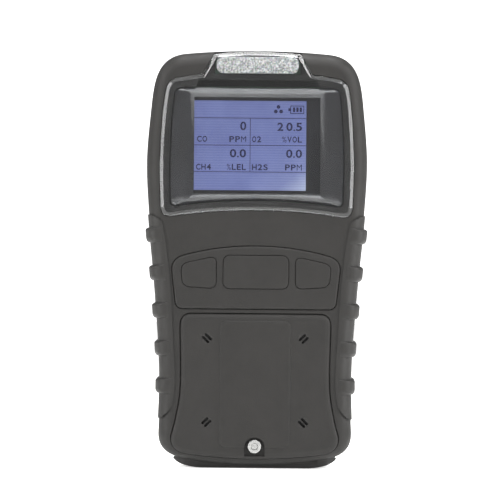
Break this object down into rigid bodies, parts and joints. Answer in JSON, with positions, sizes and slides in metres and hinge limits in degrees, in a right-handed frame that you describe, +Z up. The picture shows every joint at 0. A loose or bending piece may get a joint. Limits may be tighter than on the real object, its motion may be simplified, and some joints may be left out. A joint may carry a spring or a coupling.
{
  "type": "portable gas detector",
  "caption": "Hand-held four-gas detector with a colour display behind a clear window, rubber side grips, keys, slotted gas ports, alarm light and belt clip.",
  "frame": {"origin": "centre of the flat underside of the foot that the detector stands on", "axes": "+Z up through the case from foot to alarm light, -Y out of the display, +X to the right of someone reading the display"},
  "size_m": [0.0908, 0.0489, 0.1705],
  "materials": {
    "case_plastic": "soft matt, fine grain",
    "grip_rubber": "matt",
    "seal_rubber": "matt",
    "key_rubber": "matt",
    "steel": "satin",
    "clip_steel": "brushed",
    "clear_window": "clear gloss",
    "light_bar": "granular, translucent",
    "black_gloss": "high gloss",
    "display": "lit display",
    "white_plastic": "matt",
    "sensor_can": "satin",
    "inner_plastic": "matt",
    "circuit_board": "satin",
    "brass": "machined",
    "battery": "shrink wrap"
  },
  "bodies": {
    "case": {"front_shell": "case_plastic", "rear_shell": "case_plastic", "keypad_frame": "case_plastic", "sensor_cover": "case_plastic", "grip_left": "grip_rubber", "grip_right": "grip_rubber", "base_foot": "grip_rubber", "shell_seal": "seal_rubber", "sensor_cover_seal": "seal_rubber", "sensor_gasket": "seal_rubber", "keypad_mat": "seal_rubber", "case_screw_1": "steel", "case_screw_2": "steel", "case_screw_3": "steel", "case_screw_4": "steel", "cover_screw": "steel", "clip_screw_1": "steel", "clip_screw_2": "steel", "clip_pin": "steel", "clip_spring": "steel", "vibration_motor": "steel", "charge_socket": "steel", "clip_plate": "clip_steel", "display_window": "clear_window", "alarm_diffuser": "light_bar", "display_bezel": "black_gloss", "lcd_glass": "display", "lcd_backlight": "white_plastic", "port_filter_1": "seal_rubber", "port_filter_2": "seal_rubber", "port_filter_3": "seal_rubber", "port_filter_4": "seal_rubber", "sensor_co": "sensor_can", "sensor_ch4": "sensor_can", "sensor_o2": "sensor_can", "sensor_h2s": "sensor_can", "lcd_holder": "inner_plastic", "sensor_holder": "inner_plastic", "battery_holder": "inner_plastic", "buzzer": "inner_plastic", "alarm_led_board": "circuit_board", "sensor_board": "circuit_board", "main_board": "circuit_board", "cover_screw_insert": "brass", "battery_cell_1": "battery", "battery_cell_2": "battery"},
    "key_left": {"key_left": "key_rubber"},
    "key_centre": {"key_centre": "key_rubber"},
    "key_right": {"key_right": "key_rubber"},
    "clip_lever": {"clip_lever": "clip_steel"},
    "socket_flap": {"socket_flap": "grip_rubber"},
    "vibration_weight": {"vibration_weight": "steel"}
  },
  "joints": [
    {"name": "key_left_press", "type": "slide", "parent": "case", "child": "key_left", "axis": [0, 1, 0], "range_m": [0, 0.0008], "stiffness_N_per_m": 2500, "springref_m": -0.0004},
    {"name": "key_centre_press", "type": "slide", "parent": "case", "child": "key_centre", "axis": [0, 1, 0], "range_m": [0, 0.0008], "stiffness_N_per_m": 2500, "springref_m": -0.0004},
    {"name": "key_right_press", "type": "slide", "parent": "case", "child": "key_right", "axis": [0, 1, 0], "range_m": [0, 0.0008], "stiffness_N_per_m": 2500, "springref_m": -0.0004},
    {"name": "clip_open", "type": "hinge", "parent": "case", "child": "clip_lever", "pos_m": [0, 0.0236, 0.118], "axis": [1, 0, 0], "range_deg": [0, 18], "stiffness_Nm_per_rad": 0.6, "springref_deg": -22.92},
    {"name": "flap_open", "type": "hinge", "parent": "case", "child": "socket_flap", "pos_m": [0, 0.0173, 0.0302], "axis": [1, 0, 0], "range_deg": [0, 95]},
    {"name": "vibration_spin", "type": "hinge", "parent": "case", "child": "vibration_weight", "pos_m": [-0.031, 0.008, 0.122], "axis": [0, 0, 1], "continuous": true}
  ]
}
